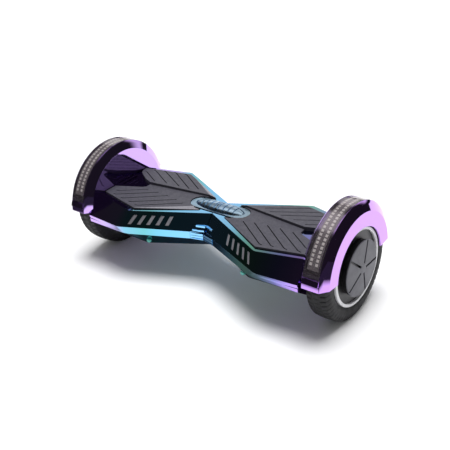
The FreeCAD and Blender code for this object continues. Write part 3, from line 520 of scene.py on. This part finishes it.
# the edges of a pad in plan: its rim up to the corner and past it, the step, the oval and the notch
RIM_X, RIM_Y, RIM_SLOPE = 0.031, 0.0264, 0.532
CORNER_X, CORNER_Y, END_SLOPE = 0.143, 0.086, 0.24
STEP_X, STEP_Y, STEP_SLOPE = 0.045, 0.0236, 0.1187
OVAL_X, OVAL_REACH, OVAL_END = 0.046, 0.0225, 0.07
NOTCH_X, NOTCH_FRONT, NOTCH_BACK = 0.18, -0.04, 0.06
EDGE_MARGIN = 2 * MM


def inside_outline(point):
    """Whether a point is on a groove's wall rather than on the pad's own rim or step."""
    x = abs(point.x)
    if x < CORNER_X:
        rim = RIM_Y + (x - RIM_X) * RIM_SLOPE
    else:
        rim = CORNER_Y - (x - CORNER_X) * END_SLOPE
    step = STEP_Y - (x - STEP_X) * STEP_SLOPE
    far_from_rim = abs(point.y) < rim - EDGE_MARGIN
    far_from_step = abs(point.y - step) > EDGE_MARGIN
    from_oval = Vector((max(x, OVAL_X) - OVAL_X, point.y)).length
    far_from_oval = from_oval > OVAL_REACH or x > OVAL_END
    near_notch = x > NOTCH_X and NOTCH_FRONT < point.y < NOTCH_BACK
    return far_from_rim and far_from_step and far_from_oval and not near_notch


# height of the pads' top faces: the front ones are level, the back ones fall away to the rear
FRONT_TOP = 0.140
BACK_TOP, BACK_FALL = 0.1456, 0.0811


def front_height(_):
    return FRONT_TOP


def back_height(y):
    return BACK_TOP - y * BACK_FALL


def make_pads():
    hook_x, hook_y = HOOK
    for side in SIDES:
        make_pad(side, "front", FRONT_GROOVES, front_height, (hook_x, hook_y))
        make_pad(side, "back", BACK_GROOVES, back_height, (hook_x, -hook_y))


# ---------------------------------------------------------------- tyres

TYRE_STEPS = 720
TREADS = 60
TREAD_DEPTH = 1.6 * MM
TREAD_REACH = 13 * MM
CENTRE_GROOVES = (-6.5 * MM, 6.5 * MM)
CENTRE_HALF = 1.1 * MM
# lateral cuts: where they start across the tyre, how far they slant and their share of the pitch
CUT_START, CUT_SLANT, CUT_SHARE = 9.5 * MM, 0.55, 0.26
# short cuts between the two grooves
FINE_END, FINE_SHARE, FINE_DEPTH = 5.0 * MM, 0.14, 0.6
PROFILE_STEPS = 56
CROWN_DROP = 2.0 * MM
SHOULDER_START, SHOULDER_REACH = 0.80, 0.2
SHOULDER_DROP, SHOULDER_POWER, SHOULDER_SHARE = 26.5 * MM, 1.6, 0.36
WALL_DROP = 19 * MM
BEAD_INSET = 2.4 * MM
BEAD_RADIUS = 0.074


def tyre_profile(low_x, high_x, outer):
    """Half-section points (x, radius) across the tyre, from one bead over the crown to the other."""
    middle = (low_x + high_x) / 2
    half = (high_x - low_x) / 2
    points = []
    for index in range(PROFILE_STEPS + 1):
        angle = math.pi * index / PROFILE_STEPS
        across = -math.cos(angle)
        share = abs(across)
        # a flat crown that falls off at the shoulder, over straight walls
        past = max(0.0, share - SHOULDER_START) ** SHOULDER_POWER
        shoulder = SHOULDER_DROP * past / SHOULDER_REACH ** SHOULDER_POWER * SHOULDER_SHARE
        crown = outer - CROWN_DROP * share ** 2 - shoulder
        points.append((middle + across * half, crown))
    wall_low = [(low_x + BEAD_INSET, BEAD_RADIUS), (low_x, outer - WALL_DROP)]
    wall_high = [(high_x, outer - WALL_DROP), (high_x - BEAD_INSET, BEAD_RADIUS)]
    return wall_low + points + wall_high


def make_tyre(side_name):
    node = nodes[f"{side_name}_tyre"]
    low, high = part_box(node.name)
    centre_z = (low.z + high.z) / 2
    middle_x = (low.x + high.x) / 2
    half = (high.x - low.x) / 2
    outer = (high.z - low.z) / 2
    profile = tyre_profile(low.x, high.x, outer)

    def sink(x, radius, turn):
        """Tread depth at a place: cuts on the shoulders, two grooves, and short cuts between them."""
        if radius < outer - TREAD_REACH:
            return 0.0
        offset = abs(x - middle_x)
        if any(abs(x - middle_x - groove) < CENTRE_HALF for groove in CENTRE_GROOVES):
            return TREAD_DEPTH
        phase = (turn / TYRE_STEPS * TREADS + offset / half * CUT_SLANT) % 1.0
        if offset > CUT_START and phase < CUT_SHARE:
            return TREAD_DEPTH
        fine = (turn / TYRE_STEPS * TREADS + 0.5) % 1.0
        if offset < FINE_END and fine < FINE_SHARE:
            return TREAD_DEPTH * FINE_DEPTH
        return 0.0

    def build(shape):
        rings = []
        for turn in range(TYRE_STEPS):
            angle = 2 * math.pi * turn / TYRE_STEPS
            ring = []
            for x, radius in profile:
                reach = radius - sink(x, radius, turn)
                y, z = reach * math.cos(angle), reach * math.sin(angle)
                ring.append(shape.verts.new((x, y, centre_z + z)))
            rings.append(ring)
        for turn in range(TYRE_STEPS):
            bridge(shape, rings[turn], rings[(turn + 1) % TYRE_STEPS])

    mesh = mesh_of(f"{side_name}_tyre_tread", build)
    mesh.shade_smooth()
    tyre = add_piece(f"{side_name}_tyre_tread", mesh, f"{side_name}_wheel", "tyre_rubber", TYRE)
    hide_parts(node.name)


# ---------------------------------------------------------------- small lamps and plugs

AXLE_HEIGHT = 0.101
LED_ROWS = (-5.6 * MM, 5.6 * MM)
LED_SIZE = 4.6 * MM
LED_RISE = 0.9 * MM
LED_SINK = 0.05 * MM
# degrees round the axle, from straight up
LED_STEP = 3.6
LED_END = 66.6


def block(shape, place, turn, size):
    """A small box with chamfered top edges, turned about X, standing on its place."""
    width, depth, height = size
    levels = ((1.0, 0.0), (1.0, height * 0.7), (0.84, height))
    rings = []
    for scale, rise in levels:
        ring = []
        for x, y in ((-1, -1), (1, -1), (1, 1), (-1, 1)):
            local = Vector((x * width / 2 * scale, y * depth / 2 * scale, rise))
            ring.append(shape.verts.new(place + turn @ local))
        rings.append(ring)
    for lower, upper in zip(rings, rings[1:]):
        bridge(shape, lower, upper)
    shape.faces.new(rings[0][::-1])
    shape.faces.new(rings[-1])


def make_fender_leds(side_name):
    low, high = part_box(f"{side_name}_fender_light_board")
    middle_x = (low.x + high.x) / 2
    radius = high.z - AXLE_HEIGHT

    def build(shape):
        angle = -LED_END
        while angle <= LED_END:
            turn = Matrix.Rotation(math.radians(angle), 3, "X")
            for row in LED_ROWS:
                out = turn @ Vector((0, 0, radius - LED_SINK))
                place = Vector((middle_x + row, out.y, AXLE_HEIGHT + out.z))
                block(shape, place, turn, (LED_SIZE, LED_SIZE, LED_RISE))
            angle += LED_STEP

    mesh = mesh_of(f"{side_name}_fender_leds", build)
    add_piece(f"{side_name}_fender_leds", mesh, f"{side_name}_half", "led_board", LED)


DOME_STEPS = 7
DOME_SPOKES = 32


def dome(shape, centre, axis, radius):
    """Half a ball on its flat side, bulging along the axis."""
    turn = axis.to_track_quat("Z", "Y").to_matrix()
    rings = []
    for level in range(DOME_STEPS):
        angle = math.pi / 2 * level / DOME_STEPS
        ring = []
        for spoke in range(DOME_SPOKES):
            around = 2 * math.pi * spoke / DOME_SPOKES
            local = Vector(
                (
                    radius * math.cos(angle) * math.cos(around),
                    radius * math.cos(angle) * math.sin(around),
                    radius * math.sin(angle),
                )
            )
            ring.append(shape.verts.new(centre + turn @ local))
        rings.append(ring)
    top = shape.verts.new(centre + turn @ Vector((0, 0, radius)))
    for lower, upper in zip(rings, rings[1:]):
        bridge(shape, lower, upper)
    for index in range(DOME_SPOKES):
        shape.faces.new((rings[-1][index], rings[-1][(index + 1) % DOME_SPOKES], top))
    shape.faces.new(rings[0][::-1])


# of the right-hand plug
PLUG_CENTRE = (112.9 * MM, -86.0 * MM, 77.0 * MM)
PLUG_OUTWARD = (-0.319, -0.775, -0.545)
PLUG_RADIUS = 5.0 * MM


def make_plugs():
    """The round plug on each half's sloping underside, painted bright mint in place of the reflection in
    its plating: a painted reflection.
    """
    for side_name, side in SIDES.items():
        mirror = Vector((side, 1.0, 1.0))
        outward = (Vector(PLUG_OUTWARD) * mirror).normalized()
        centre = Vector(PLUG_CENTRE) * mirror
        mesh = mesh_of(f"{side_name}_plug", lambda shape: dome(shape, centre, outward, PLUG_RADIUS))
        mesh.shade_smooth()
        add_piece(f"{side_name}_plug", mesh, f"{side_name}_half", "plated_shell", PLUG)


# ---------------------------------------------------------------- floor, light and camera

FLOOR_HALF = 9
FLOOR_COLOUR = (0.86, 0.86, 0.87, 1.0)
# the floor as glossy rays see it, with a painted shadow under the board: colours, half axes of the sheet
# and where the colours change
SHEET_SHADOW = (0.12, 0.12, 0.13, 1.0)
SHEET_BRIGHT = (0.88, 0.88, 0.90, 1.0)
SHEET_FAR = (0.02, 0.02, 0.025, 1.0)
SHEET_REACH = (0.80, 0.46)
SHEET_STOPS = ((0.28, SHEET_SHADOW), (0.46, SHEET_BRIGHT), (0.80, SHEET_BRIGHT), (1.0, SHEET_FAR))
BEHIND_START = 0.10
BEHIND_DEPTH = 0.20


def make_floor():
    def build(shape):
        corners = ((-1, -1), (1, -1), (1, 1), (-1, 1))
        shape.faces.new([shape.verts.new((x * FLOOR_HALF, y * FLOOR_HALF, 0.0)) for x, y in corners])

    floor = placed("floor", mesh_of("floor", build))
    look = Look("studio_floor", Roughness=0.5, Specular_IOR_Level=0.3)
    look.shader.inputs["Base Color"].default_value = FLOOR_COLOUR
    # a glossy surface sees a painted shadow on the board's footprint, a bright sheet round it, then a dark
    # room
    stretch = look.node("ShaderNodeMapping")
    stretch.inputs["Scale"].default_value = (1 / SHEET_REACH[0], 1 / SHEET_REACH[1], 0.0)
    look.join(look.position, stretch.inputs["Vector"])
    distance = look.node("ShaderNodeVectorMath", operation="LENGTH")
    look.join(stretch.outputs[0], distance.inputs[0])
    sheet_with_shadow = look.ramp(distance.outputs["Value"], SHEET_STOPS)
    # behind the board the painted shadow gives way to the bright sheet
    past_board = look.math("SUBTRACT", look.axis("Y"), BEHIND_START)
    behind = look.math("MULTIPLY", past_board, 1 / BEHIND_DEPTH)
    bright = look.node("ShaderNodeRGB")
    bright.outputs[0].default_value = SHEET_BRIGHT
    clamped = look.math("MINIMUM", look.math("MAXIMUM", behind, 0.0), 1.0)
    sheet = look.node("ShaderNodeBsdfDiffuse")
    look.join(look.blend(clamped, sheet_with_shadow, bright.outputs[0]), sheet.inputs["Color"])
    path = look.node("ShaderNodeLightPath")
    mix = look.node("ShaderNodeMixShader")
    look.join(path.outputs["Is Glossy Ray"], mix.inputs[0])
    look.join(look.shader.outputs[0], mix.inputs[1])
    look.join(sheet.outputs[0], mix.inputs[2])
    look.join(mix.outputs[0], look.tree.nodes["Material Output"].inputs["Surface"])
    floor.data.materials.append(look.material)


# strengths
SOFTBOX = 1.15
DARK_WALL = 0.018
TENT = 0.34
BACKDROP = 1.3
# where the two softboxes begin or end, as the part of a direction along one axis
OVERHEAD_FRONT = (-0.26, -0.10)
OVERHEAD_LOW = (0.73, 0.83)
BEHIND_NEAR = (0.34, 0.50)
BEHIND_RIGHT = (0.25, 0.45)
BEHIND_LOW = (0.06, 0.16)
BEHIND_HIGH = (0.47, 0.56)


def make_world():
    """A dark studio with a wide softbox overhead and another behind the board."""
    world = bpy.data.worlds.new("studio")
    bpy.context.scene.world = world
    world.use_nodes = True
    world.node_tree.nodes.clear()
    chain = Chain(world.node_tree)

    def step(source, edges):
        made = chain.node("ShaderNodeMapRange", interpolation_type="SMOOTHSTEP")
        made.inputs["From Min"].default_value, made.inputs["From Max"].default_value = edges
        chain.join(source, made.inputs["Value"])
        return made.outputs["Result"]

    def product(first, second):
        return chain.math("MULTIPLY", first, second)

    direction = chain.node("ShaderNodeSeparateXYZ")
    chain.join(chain.node("ShaderNodeTexCoord").outputs["Generated"], direction.inputs[0])
    across, along, up = (direction.outputs[letter] for letter in "XYZ")
    front_edge = step(along, OVERHEAD_FRONT)
    overhead = product(step(up, OVERHEAD_LOW), front_edge)
    # the box behind stands from just over the table to a third of the way up, and stops on the right
    right_edge = chain.math("SUBTRACT", 1.0, step(across, BEHIND_RIGHT))
    upper_edge = chain.math("SUBTRACT", 1.0, step(up, BEHIND_HIGH))
    height = product(step(up, BEHIND_LOW), upper_edge)
    behind = product(product(step(along, BEHIND_NEAR), height), right_edge)
    bright = chain.math("MAXIMUM", overhead, behind)
    mirrored = chain.math("ADD", product(bright, SOFTBOX), DARK_WALL)
    # matt surfaces see an even tent of light, and the camera a white backdrop
    path = chain.node("ShaderNodeLightPath")
    tent = product(path.outputs["Is Diffuse Ray"], TENT)
    backdrop = product(path.outputs["Is Camera Ray"], BACKDROP)
    seen = chain.math("MAXIMUM", chain.math("MAXIMUM", mirrored, tent), backdrop)
    background = chain.node("ShaderNodeBackground")
    chain.join(seen, background.inputs["Strength"])
    chain.join(background.outputs[0], chain.node("ShaderNodeOutputWorld").inputs[0])


KEY_TILT = math.radians(-6.5)
KEY_SPREAD = math.radians(36.0)
KEY_STRENGTH = 3.45


def make_key():
    """A broad light overhead, a little behind the board, that the plating doesn't mirror."""
    data = bpy.data.lights.new("key", "SUN")
    data.angle = KEY_SPREAD
    data.energy = KEY_STRENGTH
    lamp = placed("key", data)
    lamp.location = (0.0, 0.3, 2.0)
    lamp.rotation_euler = (KEY_TILT, 0.0, 0.0)
    lamp.visible_glossy = False


CAMERA_PLACE = (0.8767, -1.0456, 0.8500)
# degrees
CAMERA_AZIMUTH = 39.7
CAMERA_ELEVATION = 28.8
CAMERA_ROLL = -4.6
# millimetres
CAMERA_LENS = 65.02


def make_camera():
    data = bpy.data.cameras.new("camera")
    data.lens = CAMERA_LENS
    data.clip_end = 60.0
    camera = placed("camera", data)
    azimuth = math.radians(CAMERA_AZIMUTH)
    elevation = math.radians(CAMERA_ELEVATION)
    back = Vector(
        (
            math.sin(azimuth) * math.cos(elevation),
            -math.cos(azimuth) * math.cos(elevation),
            math.sin(elevation),
        )
    )
    right = Vector((math.cos(azimuth), math.sin(azimuth), 0.0))
    turn = Matrix((right, back.cross(right), back)).transposed()
    roll = Matrix.Rotation(math.radians(CAMERA_ROLL), 3, "Z")
    camera.matrix_world = Matrix.Translation(CAMERA_PLACE) @ (turn @ roll).to_4x4()
    bpy.context.scene.camera = camera


# ---------------------------------------------------------------- build

paint_nodes()
soften_nodes()
make_pads()
for side_name in SIDES:
    make_tyre(side_name)
    make_fender_leds(side_name)
make_plugs()
make_floor()
make_world()
make_key()
make_camera()
bpy.context.scene.view_settings.view_transform = "Standard"
